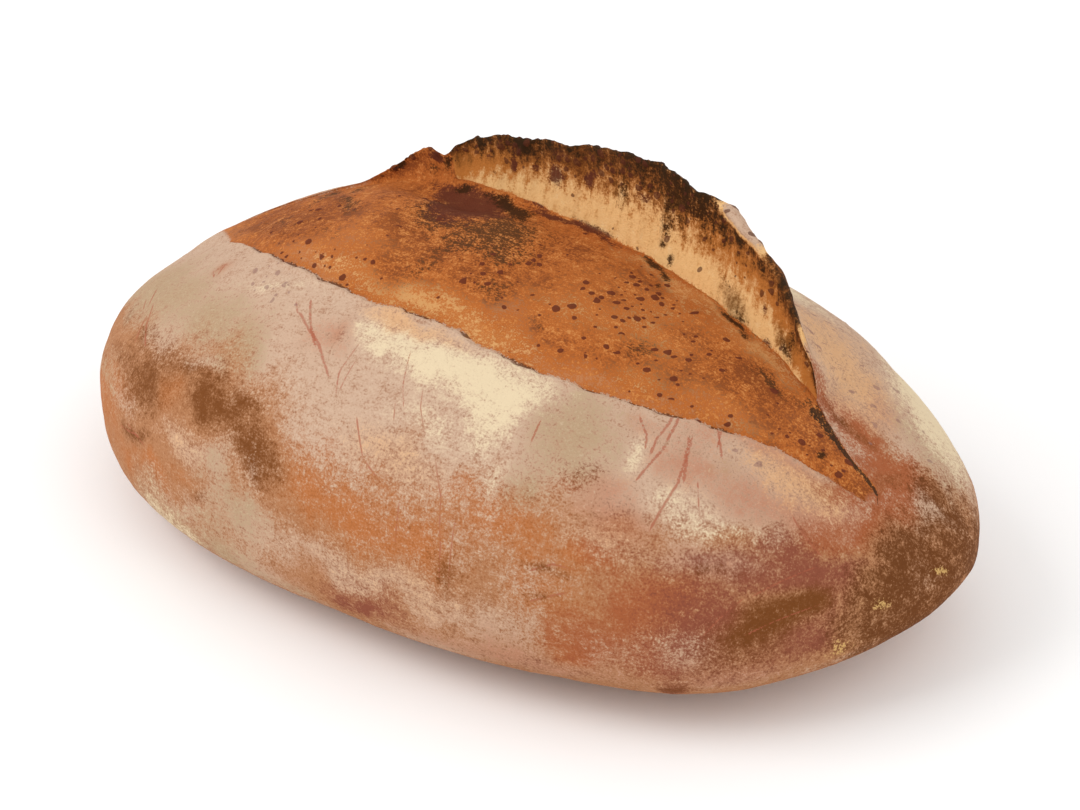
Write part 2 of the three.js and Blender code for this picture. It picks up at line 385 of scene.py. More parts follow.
# What the oven and the flour left on the crust, darker towards the right end, and a painted highlight along
# the lip. Each mark: station, angle, reach along, reach round, how far it slants where it does (degrees of
# angle per station), and strength.
crustMarks = {
    "orange": [
        (-0.1, 15, 0.09, 7, -20, 0.9), (0.04, 13, 0.1, 6, 0.9), (0.16, 11, 0.08, 6, 0.9),
        (-0.1, 27, 0.1, 6, 0.45), (0.3, 26, 0.07, 6, 0.8), (0.2, 29, 0.06, 5, 0.5),
        (-0.52, 28, 0.035, 8, 0.6), (-0.44, 7, 0.05, 2, -20, 0.6), (-0.54, 4, 0.05, 3, -20, 0.8),
        (-0.8, 8, 0.12, 12, 0.7), (-0.64, 2, 0.05, 3, -20, 0.6), (-0.9, -12, 0.08, 14, 0.9),
        (-0.76, -16, 0.08, 6, 0.6), (0.46, 22, 0.05, 3, 0.7), (0.42, 8, 0.08, 9, 0.5),
        (0.475, -2, 0.04, 4, 0.9), (0.12, 22, 0.16, 6, 0.4), (0.85, 60, 0.03, 10, 0.4),
        (-0.3, 165, 0.2, 10, 0.8), (0.25, 172, 0.2, 10, 0.8), (0.6, 165, 0.14, 12, 0.7),
        (-0.75, 168, 0.14, 12, 0.7), (-0.65, 108, 0.22, 10, 0.9), (0.38, 22, 0.08, 10, 0.5),
        (-0.7, 20, 0.08, 6, 0.5), (-0.82, 23, 0.05, 5, 0.5),
    ],
    "brown": [
        (-0.42, 28, 0.055, 6, 1), (-0.35, 30, 0.05, 6, -20, 0.9), (-0.3, 31, 0.035, 4, -30, 0.7),
        (-0.6, 27, 0.1, 10, 0.35),
        (-0.24, 19, 0.04, 6, -50, 0.95), (-0.29, 23, 0.035, 7, -50, 0.6), (-0.19, 17, 0.03, 5, -40, 0.35),
        (-0.5, 36, 0.06, 4, 0.7), (-0.58, 26, 0.05, 9, 0.6), (-0.66, 27, 0.07, 9, -60, 0.45),
        (0.72, 93, 0.06, 2.5, 0.7), (0.84, 84, 0.02, 6, 0.5),
        (-0.76, 30, 0.07, 5, -30, 0.35), (-0.81, 45, 0.025, 4, 0.6), (-0.68, 40, 0.04, 4, 0.5),
        (-0.39, 37, 0.04, 4, 0.2), (-0.91, 8, 0.05, 10, 0.35), (-0.84, 22, 0.06, 5, 0.3),
        (-0.62, 40, 0.06, 4, 0.4),
        (-0.61, 9, 0.055, 2.5, 25, 0.8), (-0.38, 3, 0.03, 2, 0.5), (0.215, 9, 0.035, 5, 0.55),
        (0.77, 9, 0.055, 10, 90, 1), (0.81, 14, 0.045, 9, 90, 1), (0.41, 45, 0.035, 5, 0.6),
        (0.41, 15.5, 0.035, 1.5, -20, 0.6), (0.41, 8, 0.03, 1.5, 20, 0.5), (-0.98, 20, 0.03, 30, 0.6),
        (0.65, -18, 0.03, 9, 0.7), (0.34, 36, 0.02, 4, 0.4), (0.69, 25, 0.04, 3, 40, 0.5),
        (0.1, 168, 0.13, 5, 30, 0.7), (0.2, 176, 0.05, 4, 0.5), (-0.47, 179, 0.17, 6, -30, 0.6),
        (0.6, 184, 0.05, 12, 0.5), (-0.15, 190, 0.08, 5, 0.4),
        (-0.62, 150, 0.08, 6, 0.5),
    ],
    "maroon": [
        (0.6, 12, 0.05, 9, 0.3), (0.7, 12, 0.06, 11, 0.8), (0.81, 30, 0.06, 9, 1),
        (0.69, 27, 0.08, 7, 0.8), (0.77, 38, 0.06, 9, -40, 0.8), (0.86, 18, 0.04, 16, 0.7),
        (0.05, -6, 0.075, 6, 1), (-0.03, -5, 0.05, 5, 0.7), (0.65, -18, 0.025, 10, 0.9),
        (0.58, 27, 0.06, 5, 0.3), (0.87, 36, 0.03, 8, 0.8), (0.74, 6, 0.1, 10, 0.5),
        (0.4, -10, 0.2, 8, 0.3), (0.75, -10, 0.1, 9, 0.4), (0.5, 38, 0.06, 6, 0.35),
        (0.8, 26, 0.05, 5, 0.6),
        (0.62, -2, 0.1, 5, 0.4), (-0.19, 55, 0.03, 4, 0.4), (0.83, 1, 0.06, 6, 0.8),
        (0.7, 92, 0.05, 3, 0.5),
        (0.2, 190, 0.2, 8, 0.6),
    ],
    "red": [
        (0.85, 60, 0.045, 14, 0.9), (0.8, 48, 0.05, 8, -40, 0.8), (0.58, 9, 0.08, 11, 0.9),
        (0.65, 14, 0.08, 10, 0.7), (0.49, 0, 0.05, 6, 0.6), (0.48, 23, 0.05, 4, 0.5),
        (0.62, -2, 0.07, 5, 0.5), (-0.19, 54, 0.03, 4, 0.4), (-0.6, 68, 0.01, 3, 0.7),
        (0.73, 93, 0.06, 8, 1), (0.8, 88, 0.05, 9, 1), (0.66, 92, 0.05, 5, 0.8),
        (0.87, 80, 0.04, 14, 0.9), (0.42, 41, 0.04, 6, 0.4), (0.52, 33, 0.07, 6, 0.3),
        (0.87, 94, 0.04, 12, 0.9), (0.8, 69, 0.07, 9, 0.5), (0.46, 1, 0.05, 6, 0.5),
    ],
    "olive": [
        (0.94, 30, 0.05, 45, 1), (1.0, 20, 0.07, 70, 1), (0.94, -20, 0.05, 22, 1),
        (0.93, 65, 0.035, 20, 0.6), (0.94, 104, 0.05, 20, 0.7), (1.0, 120, 0.05, 70, 1),
        (0.89, 12, 0.03, 12, 0.7), (0.99, -48, 0.1, 36, 1), (0.91, 96, 0.04, 10, 0.8),
        (1.0, 205, 0.07, 50, 1),
    ],
    # the tone of the flour, which is rose unless marked
    "blush": [
        (0.56, 56, 0.06, 7, 0.62), (0.74, 69, 0.06, 4, 0.6), (0.68, 55, 0.09, 9, 0.6),
        (0.79, 55, 0.07, 11, 0.75), (0.5, 33, 0.08, 6, 0.8), (0.46, 42, 0.04, 6, 0.6),
        (-0.2, 54, 0.06, 6, 0.5), (-0.6, 67, 0.03, 5, 0.5), (-0.38, 52, 0.04, 4, 0.3),
        (0.74, 112, 0.07, 12, 0.7), (0.71, 99, 0.05, 5, 0.5), (0.67, 70, 0.1, 3, 0.7),
        (0.46, 62, 0.05, 4, 0.5), (0.57, 118, 0.13, 14, 0.3),
        (0.4, -10, 0.3, 8, 0.7), (0.75, -8, 0.12, 8, 0.8), (0.7, 28, 0.1, 8, 0.4),
        (-0.84, 34, 0.08, 8, 0.6), (-0.95, 40, 0.04, 14, 0.5),
        (-0.1, -6, 0.1, 6, 0.5), (0.55, 66, 0.04, 4, 0.4),
    ],
    "grey": [
        (-0.8, 58, 0.14, 16, 1), (-0.95, 50, 0.06, 40, 0.8), (-0.68, 55, 0.09, 11, 0.9),
        (-0.5, 51, 0.1, 9, 1), (-0.37, 44, 0.07, 9, 1), (0.36, 52, 0.08, 12, 0.9),
        (-0.82, 20, 0.1, 14, 0.7), (-0.5, -8, 0.14, 9, 0.8),
        (0.33, 36, 0.03, 6, 0.7), (-0.33, -10, 0.08, 10, 1), (-0.27, 6, 0.08, 5, 0.7),
        (-0.35, 14, 0.06, 7, 0.5), (0.9, 5, 0.05, 22, 0.8), (0.88, 122, 0.07, 16, 0.5),
        (0.3, 150, 0.25, 12, 0.7), (-0.6, 135, 0.2, 14, 0.8), (-0.1, 138, 0.12, 8, 0.6),
        (0.63, 60, 0.03, 4, 0.3), (-0.62, 58, 0.03, 5, 0.4), (0.8, 120, 0.06, 9, 0.5),
        (-0.14, -14, 0.08, 6, 0.5),
    ],
    # cream flour; along the lip on the upper front it is a painted highlight
    "creamAndHighlight": [
        (0.05, 56.5, 0.1, 4, 1), (0.19, 56, 0.08, 6, 0.85), (0.22, 46, 0.035, 8, -40, 0.6),
        (0.12, 54, 0.1, 5, 0.55), (0.25, 60, 0.05, 5, 0.5),
        (-0.08, 57, 0.06, 3, 0.7), (0.6, 44, 0.06, 6, 0.35), (-0.48, -13, 0.06, 5, 0.3),
        (0.475, 54, 0.025, 6, 0.45), (-0.4, 64, 0.1, 2.5, 10, 0.25), (-0.52, -10, 0.1, 10, 0.35),
        (0.28, 34, 0.02, 6, 0.2),
        (0.67, 40, 0.05, 4, 0.4), (0.84, 134, 0.06, 10, 0.6), (-0.2, 128, 0.25, 10, 0.7),
        (0.72, 146, 0.09, 12, 0.9), (0.8, 145, 0.08, 20, 1), (0.1, 42, 0.08, 4, 0.3),
        (0.4, 128, 0.12, 8, 0.7),
    ],
    "peach": [
        (-0.07, 62, 0.09, 3.5, 1), (0.7, 66, 0.09, 6, 0.65), (0.78, 62, 0.06, 9, 0.7),
        (-0.82, 18, 0.08, 12, 0.4), (0.48, 28, 0.08, 6, 0.4),
        (-0.44, 15, 0.08, 5, 0.5), (0.1, 3, 0.25, 4, 0.4), (0.05, 31, 0.12, 6, 0.5),
        (0.64, 112, 0.14, 16, 0.9), (0.2, 112, 0.3, 10, 0.5), (0.04, 62, 0.06, 2, 0.6),
    ],
    # how thickly the flour lies below its film over the shoulder
    "flour": [
        (-0.43, 15, 0.09, 4.5, 0.75), (-0.34, 13, 0.05, 8, 0.8), (-0.26, 5, 0.08, 4.5, 0.9),
        (0.0, 2, 0.25, 3, 0.7), (-0.52, -10, 0.1, 10, 0.9), (-0.3, -9, 0.16, 10, 0.9),
        (-0.1, 30, 0.12, 7, 0.75), (0.1, 30, 0.12, 7, 0.55), (0.38, 0, 0.2, 5, 0.45),
        (-0.02, 20, 0.2, 5, 0.25), (0.25, 20, 0.1, 8, 0.3), (0.1, 10, 0.25, 10, 0.2),
        (0.35, -10, 0.24, 9, 0.6), (0.68, 29, 0.09, 7, 0.5), (0.68, 3, 0.05, 5, 0.35),
        (0.17, -15, 0.1, 7, 0.6), (0.48, 28, 0.09, 5, 0.4), (-0.42, 38, 0.06, 3, 0.55),
        (0.87, -23, 0.05, 6, 0.35), (-0.14, -15, 0.07, 5, 0.4), (-0.24, 13, 0.03, 4, 0.3),
        (0.38, 10, 0.05, 4, 0.3), (-0.47, -13, 0.06, 4, 0.5), (-0.45, -0.5, 0.06, 3, 0.4),
        (0.74, -10, 0.1, 9, 0.5), (-0.81, 20, 0.12, 13, 0.42), (-0.66, 16, 0.06, 5, 0.45),
        (-0.78, -8, 0.1, 6, 0.3), (0.92, 0, 0.04, 15, 0.15), (0.4, 14, 0.06, 7, 0.2),
        (0.78, 48, 0.06, 8, 0.3), (0.84, 55, 0.03, 9, 0.3), (0.5, 20, 0.06, 8, 0.15),
        (0.97, 40, 0.03, 40, 0.25), (0.6, 190, 0.4, 14, 0.5), (-0.3, 195, 0.4, 12, 0.6),
    ],
    # where it is rubbed off
    "bare": [
        (0.88, 70, 0.03, 20, 0.8), (0.74, 95, 0.06, 8, 0.95), (0.81, 90, 0.05, 12, 0.9),
        (0.66, 92, 0.05, 4, 0.8), (0.41, 43.5, 0.03, 4.5, 0.55), (0.97, 90, 0.04, 40, 0.8),
        (0.36, 35, 0.04, 5, 0.35),
        (-0.19, 54, 0.02, 4, 0.4), (-0.6, 68, 0.012, 3, 0.5), (0.78, 44, 0.05, 9, 0.5),
        (0.05, -7, 0.08, 5, 0.9), (0.65, -18, 0.03, 9, 0.9), (0.95, 20, 0.05, 60, 0.5),
        (-0.65, 109, 0.22, 8, 1), (0.57, 10, 0.06, 8, 0.6), (0.82, 25, 0.06, 8, 0.6),
        (0.78, 10, 0.06, 11, 90, 1), (0.91, 102, 0.05, 14, 1), (0.95, 128, 0.04, 20, 0.8),
        (0.99, 170, 0.04, 60, 1), (0.87, 92, 0.03, 10, 0.9), (0.8, 69, 0.07, 8, 0.5),
        (0.46, 0, 0.05, 6, 0.8), (0.87, 8, 0.05, 14, 0.9), (0.99, -40, 0.05, 40, 1),
        (0.82, 0, 0.05, 5, 0.8), (0.78, 68, 0.06, 7, 0.4), (0.84, 84, 0.03, 10, 1),
        (0.8, 25, 0.05, 6, 0.9), (0.87, 21, 0.04, 8, 0.9),
    ],
    "gold": [(0.87, -8, 0.015, 6, 0.8), (0.985, 44, 0.01, 8, 0.8), (0.92, 10, 0.015, 4, 0.6)],
}
# the film of flour over the loaf thins out at these angles on the front, and towards the back
flourFilm = {
    "station": (-1, -0.85, -0.7, -0.5, -0.3, -0.2, 0, 0.15, 0.25, 0.33, 0.45, 0.6, 0.75, 0.85, 1),
    "front": (46, 46, 43, 43, 40, 34, 32, 32, 32, 34, 38, 35, 43, 64, 98),
    "back": 160, "fade": 12,
    # degrees that each edge of it wavers, the wavelength in mm, and mm for each degree of angle
    "frontWaver": (4, 70, 0.5), "backWaver": (9, 110, 0.4),
}
# the same on the burst crumb, round which the second number is the share of the way from lip to root
bloomMarks = {
    "rosy": [
        (-0.7, 0.2, 0.1, 0.16, 0.8), (-0.4, 0.1, 0.12, 0.1, 0.7), (-0.8, 0.4, 0.08, 0.5, 0.7),
        (-0.6, 0.55, 0.06, 0.12, 0.4), (-0.35, 0.45, 0.08, 0.1, 0.4), (0.68, 0.6, 0.05, 0.2, 0.4),
        (0.33, 0.05, 0.22, 0.08, 0.75), (-0.33, 0.3, 0.1, 0.12, 0.45),
        (0.57, 0.22, 0.1, 0.14, 0.5), (0.57, 0.93, 0.05, 0.08, 0.6), (-0.3, 0.06, 0.08, 0.06, 0.8),
        (0.12, 0.25, 0.1, 0.1, 0.4),
    ],
    "golden": [
        (-0.08, 0.1, 0.16, 0.1, 0.7), (0.09, 0.07, 0.1, 0.09, 0.7), (0.36, 0.93, 0.1, 0.08, 0.9),
        (0.4, 0.2, 0.05, 0.1, 0.4), (0.28, 0.91, 0.06, 0.06, 0.5), (0.62, 0.15, 0.05, 0.1, 0.4),
        (0.52, 0.89, 0.09, 0.1, 1), (0.2, 0.9, 0.06, 0.06, 0.7), (0.36, 0.55, 0.12, 0.14, 0.4),
        (0.3, 0.72, 0.12, 0.1, 0.3), (-0.2, 0.35, 0.08, 0.08, 0.35), (0.5, 0.35, 0.1, 0.1, 0.35),
        (-0.3, 0.12, 0.1, 0.06, 0.5), (0.2, 0.45, 0.12, 0.1, 0.3),
    ],
    "russet": [
        (0.56, 0.68, 0.09, 0.14, 0.9), (0.72, 0.5, 0.1, 0.5, 0.35), (-0.6, 0.25, 0.14, 0.16, 0.8),
        (-0.5, 0.38, 0.12, 0.16, 0.7), (-0.38, 0.65, 0.06, 0.1, 0.4), (0.05, 0.62, 0.06, 0.08, 0.4),
        (-0.68, 0.55, 0.12, 0.3, 0.6), (-0.6, 0.9, 0.02, 0.14, -1.5, 1), (-0.56, 0.75, 0.02, 0.14, -2.5, 1),
        (-0.5, 0.6, 0.05, 0.06, -1.5, 1), (-0.42, 0.5, 0.06, 0.05, -0.6, 0.9),
        (-0.49, 0.85, 0.02, 0.16, -2, 0.9), (-0.25, 0.46, 0.09, 0.09, 0.8),
        (0.26, 0.78, 0.06, 0.1, 0.4), (0.7, 0.7, 0.03, 0.25, 0.5),
        (0.2, 0.25, 0.06, 0.06, 0.5), (0.4, 0.65, 0.05, 0.06, 0.5), (0.1, 0.5, 0.06, 0.05, 0.4),
        (0.52, 0.42, 0.06, 0.12, 0.6), (0.83, 0.4, 0.04, 0.4, 0.7), (0.82, 0.1, 0.04, 0.15, 0.9),
        (0.1, 0.77, 0.07, 0.08, 0.6), (-0.12, 0.42, 0.12, 0.16, 0.6), (0.02, 0.35, 0.06, 0.12, 0.5),
        (-0.17, 0.25, 0.06, 0.14, 0.5), (0.35, 0.35, 0.06, 0.15, 0.3), (0.45, 0.4, 0.04, 0.2, 0.35),
        (-0.36, 0.8, 0.04, 0.18, -1, 0.5), (0.25, 0.62, 0.05, 0.1, 0.3), (0.64, 0.3, 0.05, 0.25, 0.4),
    ],
    "umber": [
        (-0.06, 0.66, 0.06, 0.13, 1), (0.0, 0.55, 0.04, 0.06, 0.7), (-0.1, 0.52, 0.05, 0.1, 0.6),
        (-0.2, 0.6, 0.08, 0.025, 0.7), (0.03, 0.33, 0.04, 0.08, 0.4), (-0.58, 0.33, 0.08, 0.1, 0.25),
        (-0.22, 0.56, 0.06, 0.07, 0.6), (-0.03, 0.65, 0.04, 0.08, 0.5), (-0.09, 0.72, 0.04, 0.06, 0.6),
        (0.7, 0.9, 0.05, 0.1, 0.7), (-0.57, 0.74, 0.015, 0.16, -2.2, 0.9),
        (-0.45, 0.55, 0.05, 0.04, -0.8, 0.9), (-0.51, 0.84, 0.015, 0.14, -2, 0.8),
        (0.58, 0.75, 0.04, 0.05, 0.5), (0.36, 0.42, 0.03, 0.1, 0.35),
        (-0.12, 0.28, 0.03, 0.1, 0.3), (0.17, 0.3, 0.03, 0.06, 0.3), (-0.38, 0.3, 0.05, 0.05, 0.25),
    ],
    # dark crumb; in the pocket and along the crease under the ear it is painted shade
    "wineAndShade": [
        (-0.21, 0.82, 0.09, 0.17, -0.6, 1), (-0.15, 0.72, 0.05, 0.08, 0.9), (-0.27, 0.93, 0.05, 0.09, 0.95),
        (-0.24, 0.68, 0.05, 0.09, 0.9),
        (-0.17, 0.9, 0.05, 0.08, 0.9), (0.04, 0.97, 0.1, 0.04, 0.9), (-0.03, 0.96, 0.05, 0.04, 0.7),
    ],
    # near-black crumb, mostly painted shade in the pocket and along the crease under the ear
    "sootAndShade": [
        (-0.15, 0.94, 0.06, 0.05, -0.9, 1), (-0.1, 0.88, 0.04, 0.06, -0.5, 1),
        (-0.26, 0.68, 0.015, 0.1, -3, 0.5), (-0.27, 0.99, 0.02, 0.02, 0.9),
        (0.23, 0.95, 0.03, 0.035, 1), (0.27, 0.92, 0.015, 0.03, 0.9),
        (0.44, 0.96, 0.04, 0.035, 1), (0.48, 0.92, 0.015, 0.03, 0.8), (0.28, 0.8, 0.005, 0.02, 0.8),
        (0.735, 0.4, 0.006, 0.09, 1),
    ],
}
# and on the inside of the ear, where it is the share of the way from root to rim
earMarks = {
    "russet": [(-0.42, 0.6, 0.06, 0.35, 0.8), (-0.5, 0.5, 0.05, 0.4, 0.5), (-0.3, 0.8, 0.03, 0.2, 0.6)],
    "umber": [
        (-0.47, 0.8, 0.02, 0.2, -2, 0.4), (-0.4, 0.95, 0.03, 0.1, 0.5), (-0.36, 0.3, 0.01, 0.2, -2, 0.5),
        (0.425, 0.12, 0.045, 0.2, -1, 0.85), (0.24, 0.6, 0.03, 0.28, 0.7), (0.12, 0.52, 0.024, 0.2, 0.6),
        (0.555, 0.24, 0.03, 0.2, -2, 0.75), (0.23, 0.2, 0.012, 0.06, 0.8), (0.575, 0.5, 0.02, 0.25, 0.6),
        (-0.29, 0.55, 0.035, 0.3, -1, 0.5),
    ],
    # dark streaks, with painted shade in the notch near -0.35 and along the root
    "wineAndShade": [
        (-0.155, 0.5, 0.01, 0.14, 1), (-0.045, 0.53, 0.022, 0.15, 1), (0.035, 0.54, 0.014, 0.08, 0.9),
        (-0.35, 0.82, 0.024, 0.24, 1), (0.175, 0.57, 0.02, 0.06, 0.7), (0.06, 0.01, 0.07, 0.04, 0.9),
        (-0.08, 0.0, 0.03, 0.025, 0.7), (0.05, 0.64, 0.02, 0.05, 0.6), (-0.22, 0.6, 0.01, 0.08, 0.5),
        (0.5, 0.38, 0.006, 0.08, 0.7), (-0.1, 0.54, 0.012, 0.06, 0.7), (0.52, 0.03, 0.02, 0.05, 0.6),
        (-0.03, 0.85, 0.03, 0.06, 0.5), (-0.15, 0.8, 0.02, 0.1, 0.5),
    ],
    # near-black streaks, with painted shade in the notch near -0.33
    "sootAndShade": [
        (0.12, 0.6, 0.016, 0.18, 0.45), (0.24, 0.68, 0.02, 0.26, 0.8), (-0.325, 0.65, 0.01, 0.3, -3, 0.8),
        (0.56, 0.18, 0.016, 0.1, -2, 0.6), (0.575, 0.55, 0.01, 0.26, 0.6), (-0.445, 0.8, 0.012, 0.22, 0.8),
        (0.26, 0.11, 0.006, 0.06, 1), (0.235, 0.2, 0.006, 0.03, 1), (0.31, 0.8, 0.06, 0.14, 0.5),
        (0.445, 0.05, 0.02, 0.09, -1, 0.6), (-0.24, 0.7, 0.006, 0.2, 0.5), (0.28, 0.45, 0.03, 0.12, 0.25),
        (0.4, 0.27, 0.015, 0.05, 0.3), (-0.2, 0.3, 0.005, 0.04, 0.5), (-0.08, 0.84, 0.03, 0.08, 0.4),
        (0.235, 0.35, 0.012, 0.08, 0.5),
    ],
}
# share of the ear's height at which its cream turns gold, its gold brown and its brown black
earBands = {
    "station": (-0.55, -0.35, -0.28, -0.2, -0.1, 0.0, 0.1, 0.2, 0.26, 0.32, 0.4, 0.5, 0.56, 0.6, 0.66),
    "gold": (-0.5, -0.4, 0.0, 0.2, 0.33, 0.4, 0.46, 0.46, 0.38, 0.38, 0.31, 0.33, 0.2, 0.0, -0.3),
    "brown": (0.75, 0.7, 0.64, 0.6, 0.52, 0.56, 0.58, 0.57, 0.54, 0.58, 0.65, 0.74, 0.68, 0.55, 0.4),
    "char": (1.3, 1.3, 0.88, 0.82, 0.8, 0.94, 0.87, 0.78, 0.7, 0.7, 0.8, 0.97, 0.95, 0.85, 0.7),
}
# lumps of the rim that stayed pale: station, reach, strength
paleFolds = [(0.4, 0.03, 1.2), (0.44, 0.035, 1.2), (0.64, 0.04, 1)]
# Scratches through the flour, each a strength and its points as station and angle. Those that run close
# together are in different sets, because a set stores the distance to its nearest line alone.
scratchSets = {
    "scratchLong": [
        (0.9, [(-0.77, 58), (-0.745, 51)]), (0.9, [(-0.725, 51), (-0.7, 44), (-0.66, 37)]),
        (1, [(-0.28, 61), (-0.25, 56), (-0.21, 51)]), (0.7, [(-0.12, 53), (-0.125, 46), (-0.11, 41)]),
        (0.55, [(-0.01, 56), (0.015, 48), (0.035, 44)]), (0.5, [(0.075, 44), (0.1, 39.5)]),
        (0.7, [(-0.04, 36), (0, 28), (0.05, 24)]), (0.8, [(0.295, 52), (0.3, 47)]),
        (0.9, [(0.45, 63), (0.475, 60), (0.485, 57)]), (1, [(0.505, 67), (0.515, 58), (0.505, 48)]),
        (1, [(0.54, 64), (0.56, 57), (0.57, 50), (0.565, 36)]), (0.9, [(0.575, 69), (0.605, 63)]),
        (0.6, [(0.6, 52), (0.63, 43)]), (0.8, [(-0.62, 67), (-0.6, 65)]),
        (0.6, [(0.15, 33), (0.18, 26), (0.2, 14), (0.205, 6)]), (0.7, [(-0.67, 7.5), (-0.6, 9)]),
        (0.7, [(0.82, 33), (0.76, 20)]), (0.7, [(0.84, 14), (0.76, 5)]),
        (0.7, [(0.385, 15), (0.42, 18), (0.46, 18)]),
    ],
    "scratchShort": [
        (0.9, [(-0.773, 52), (-0.757, 49)]), (0.9, [(-0.72, 46), (-0.705, 37.5)]),
        (0.7, [(-0.31, 60), (-0.295, 58)]), (1, [(-0.285, 57.5), (-0.2, 51), (-0.145, 44.5)]),
        (0.6, [(-0.105, 50), (-0.105, 42)]), (0.5, [(0.06, 48), (0.07, 45)]), (0.5, [(0.02, 43), (0.03, 40)]),
        (1, [(0.495, 67), (0.495, 60), (0.5, 56)]), (1, [(0.545, 64), (0.575, 52)]),
        (0.7, [(0.58, 69), (0.59, 65)]), (0.8, [(-0.605, 70), (-0.595, 66)]), (0.5, [(0.22, 22), (0.225, 5)]),
        (0.7, [(-0.64, 10), (-0.575, 8)]), (0.6, [(0.1, 20), (0.105, 11)]), (0.6, [(0.74, 17), (0.7, 6)]),
        (0.7, [(0.39, 7), (0.45, 11)]), (0.7, [(0.76, 52), (0.82, 40)]),
    ],
}
# the dark edge where the right end of the cut stayed shut, as station and share from lip to root
shutEdge = [(1, [(0.67, 0.9), (0.7, 0.93), (0.76, 0.92), (0.79, 0.9), (0.82, 0.86), (0.845, 0.8)])]
# painted shadow under the torn edge of the lip: station, reach, strength
lipShadows = [
    (-0.56, 0.05, 0.8), (-0.42, 0.08, 1), (-0.27, 0.05, 1), (-0.05, 0.05, 0.7), (0.055, 0.014, 0.9),
    (0.185, 0.045, 1), (0.34, 0.03, 0.5), (0.41, 0.03, 0.5), (0.48, 0.035, 0.9), (0.57, 0.025, 1),
]
# fields of blisters: station, angle, reach along, reach round, share of the cells that blistered
blisterFields = {
    "bloomBlisters": [
        (0.28, 88, 0.09, 9, 1), (0.42, 78, 0.12, 10, 0.6), (0.68, 76, 0.12, 8, 0.7),
        (-0.42, 73, 0.15, 5, 0.9), (0.15, 80, 0.3, 9, 0.25), (0.02, 88, 0.04, 4, 0.6),
        (-0.3, 90, 0.3, 10, 0.15), (-0.66, 84, 0.1, 6, 0.2),
    ],
    "flourBlisters": [
        (-0.38, 66, 0.09, 5, 0.6), (0.58, 110, 0.12, 16, 0.32), (0.78, 112, 0.08, 12, 0.25),
        (0.1, 120, 0.3, 18, 0.25), (-0.5, 110, 0.2, 18, 0.25), (0.68, 66, 0.06, 4, 0.2),
    ],
}
# mm over which a line fades past its ends and to its sides, and the distances kept where none is near
lineForm = {"pastEnd": 1.5, "aside": 2.5, "noLine": 9, "outOfReach": 99}


def markSum(marks, along, around):
    total = np.zeros(along.shape)
    for at, turn, reach, spread, *slant, strength in marks:
        u = (along - at) / reach
        v = (around - turn - sum(slant) * (along - at)) / spread
        total = total + strength * np.exp(-(u * u + v * v)) * (1 - total)
    return total


def lineField(lines, around, perAround):
    # signed distance in mm from the nearest line, and how strongly that line shows
    half = loafForm["length"] / 2
    x, y = station * half, around * perAround
    side, near, best = lineForm["noLine"] + 0 * x, 0 * x, lineForm["outOfReach"] + 0 * x
    for strength, points in lines:
        for (s0, a0), (s1, a1) in zip(points, points[1:]):
            dx, dy = (s1 - s0) * half, (a1 - a0) * perAround
            length = math.hypot(dx, dy)
            px, py = x - s0 * half, y - a0 * perAround
            along = (px * dx + py * dy) / length
            off = (py * dx - px * dy) / length
            over = np.maximum(0, np.maximum(-along, along - length))
            reach = np.hypot(off, over)
            closer = reach < best
            side = np.where(closer, off, side)
            shown = strength * clamp01(1 - over / lineForm["pastEnd"])
            near = np.where(closer, shown * clamp01(1.6 - reach / lineForm["aside"]), near)
            best = np.minimum(best, reach)
    return side, near


perDegree = 0.95      # mm along the crust for each degree
bloomWidth = 22       # mm from lip to root near the right end of the cut
lipAngle, rootAngle = scoreEdges(station)
onFlank = np.isin(zone, ("underside", "flank", "lip"))
onBloom, onFront, onRim = zone == "bloom", zone == "earFront", zone == "rim"
onBack = np.isin(zone, ("earBack", "farFlank", "undersideBack"))
x = station * loafForm["length"] / 2
height = earHeight(station)
rimShare = np.where(onRim, 1, share)
# marks are never quite oval: their places wander a little
warpedStation = station + 0.02 * wander(x, 46, 11, angle)
warpedAngle = angle + 2.2 * wander(x, 38, 12, angle)
warpedShare = share + 0.03 * wander(x, 30, 13, 40 * share)
layout = {}
for tone, marks in crustMarks.items():
    layout[tone] = markSum(marks, warpedStation, warpedAngle)
fade = flourFilm["fade"]
front = np.interp(station, flourFilm["station"], flourFilm["front"])
degrees, wavelength, turned = flourFilm["frontWaver"]
front = front + degrees * wander(x, wavelength, 14, turned * angle)
film = smooth(warpedAngle, front - fade, front + fade)
degrees, wavelength, turned = flourFilm["backWaver"]
behind = flourFilm["back"] + degrees * wander(x, wavelength, 15, turned * angle)
film = film * smooth(behind - warpedAngle, -fade, fade) * smooth(1 - np.abs(warpedStation), -0.01, 0.05)
# the flour film thickens under the cream flour and under the painted highlight along the lip
film = film * (1 + 0.6 * layout["creamAndHighlight"])
layout["flour"] = (film + layout["flour"] * np.maximum(0, 1 - film)) * (1 - layout.pop("bare"))
for tone, marks in bloomMarks.items():
    onBurst = np.where(onBloom, markSum(marks, station, warpedShare), 0)
    onEar = markSum(earMarks.get(tone, []), station, rimShare)
    layout[tone] = np.where(onFront | onRim, onEar, onBurst)
upEar = np.where(onRim, 1 + 0.1 * share, share)
folded = np.minimum(1, bumps(paleFolds, station))
pale = folded * smooth(np.where(onRim, 1 + share, share), 0.88, 1.02)
for band in ("gold", "brown", "char"):
    limit = np.interp(station, earBands["station"], earBands[band])
    level = clamp01(0.5 + 1.6 * (upEar - limit)) - 2 * pale
    layout[band + "Ear"] = np.where(onFront | onRim, level, 0)
scorchSpan = 2.5      # degrees that the char runs down behind the rim
scorched = np.exp(-share * earForm["footSpan"] / scorchSpan) * smooth(height, 4, 12) * (1 - folded)
layout["scorched"] = np.where(zone == "earBack", scorched, 0)
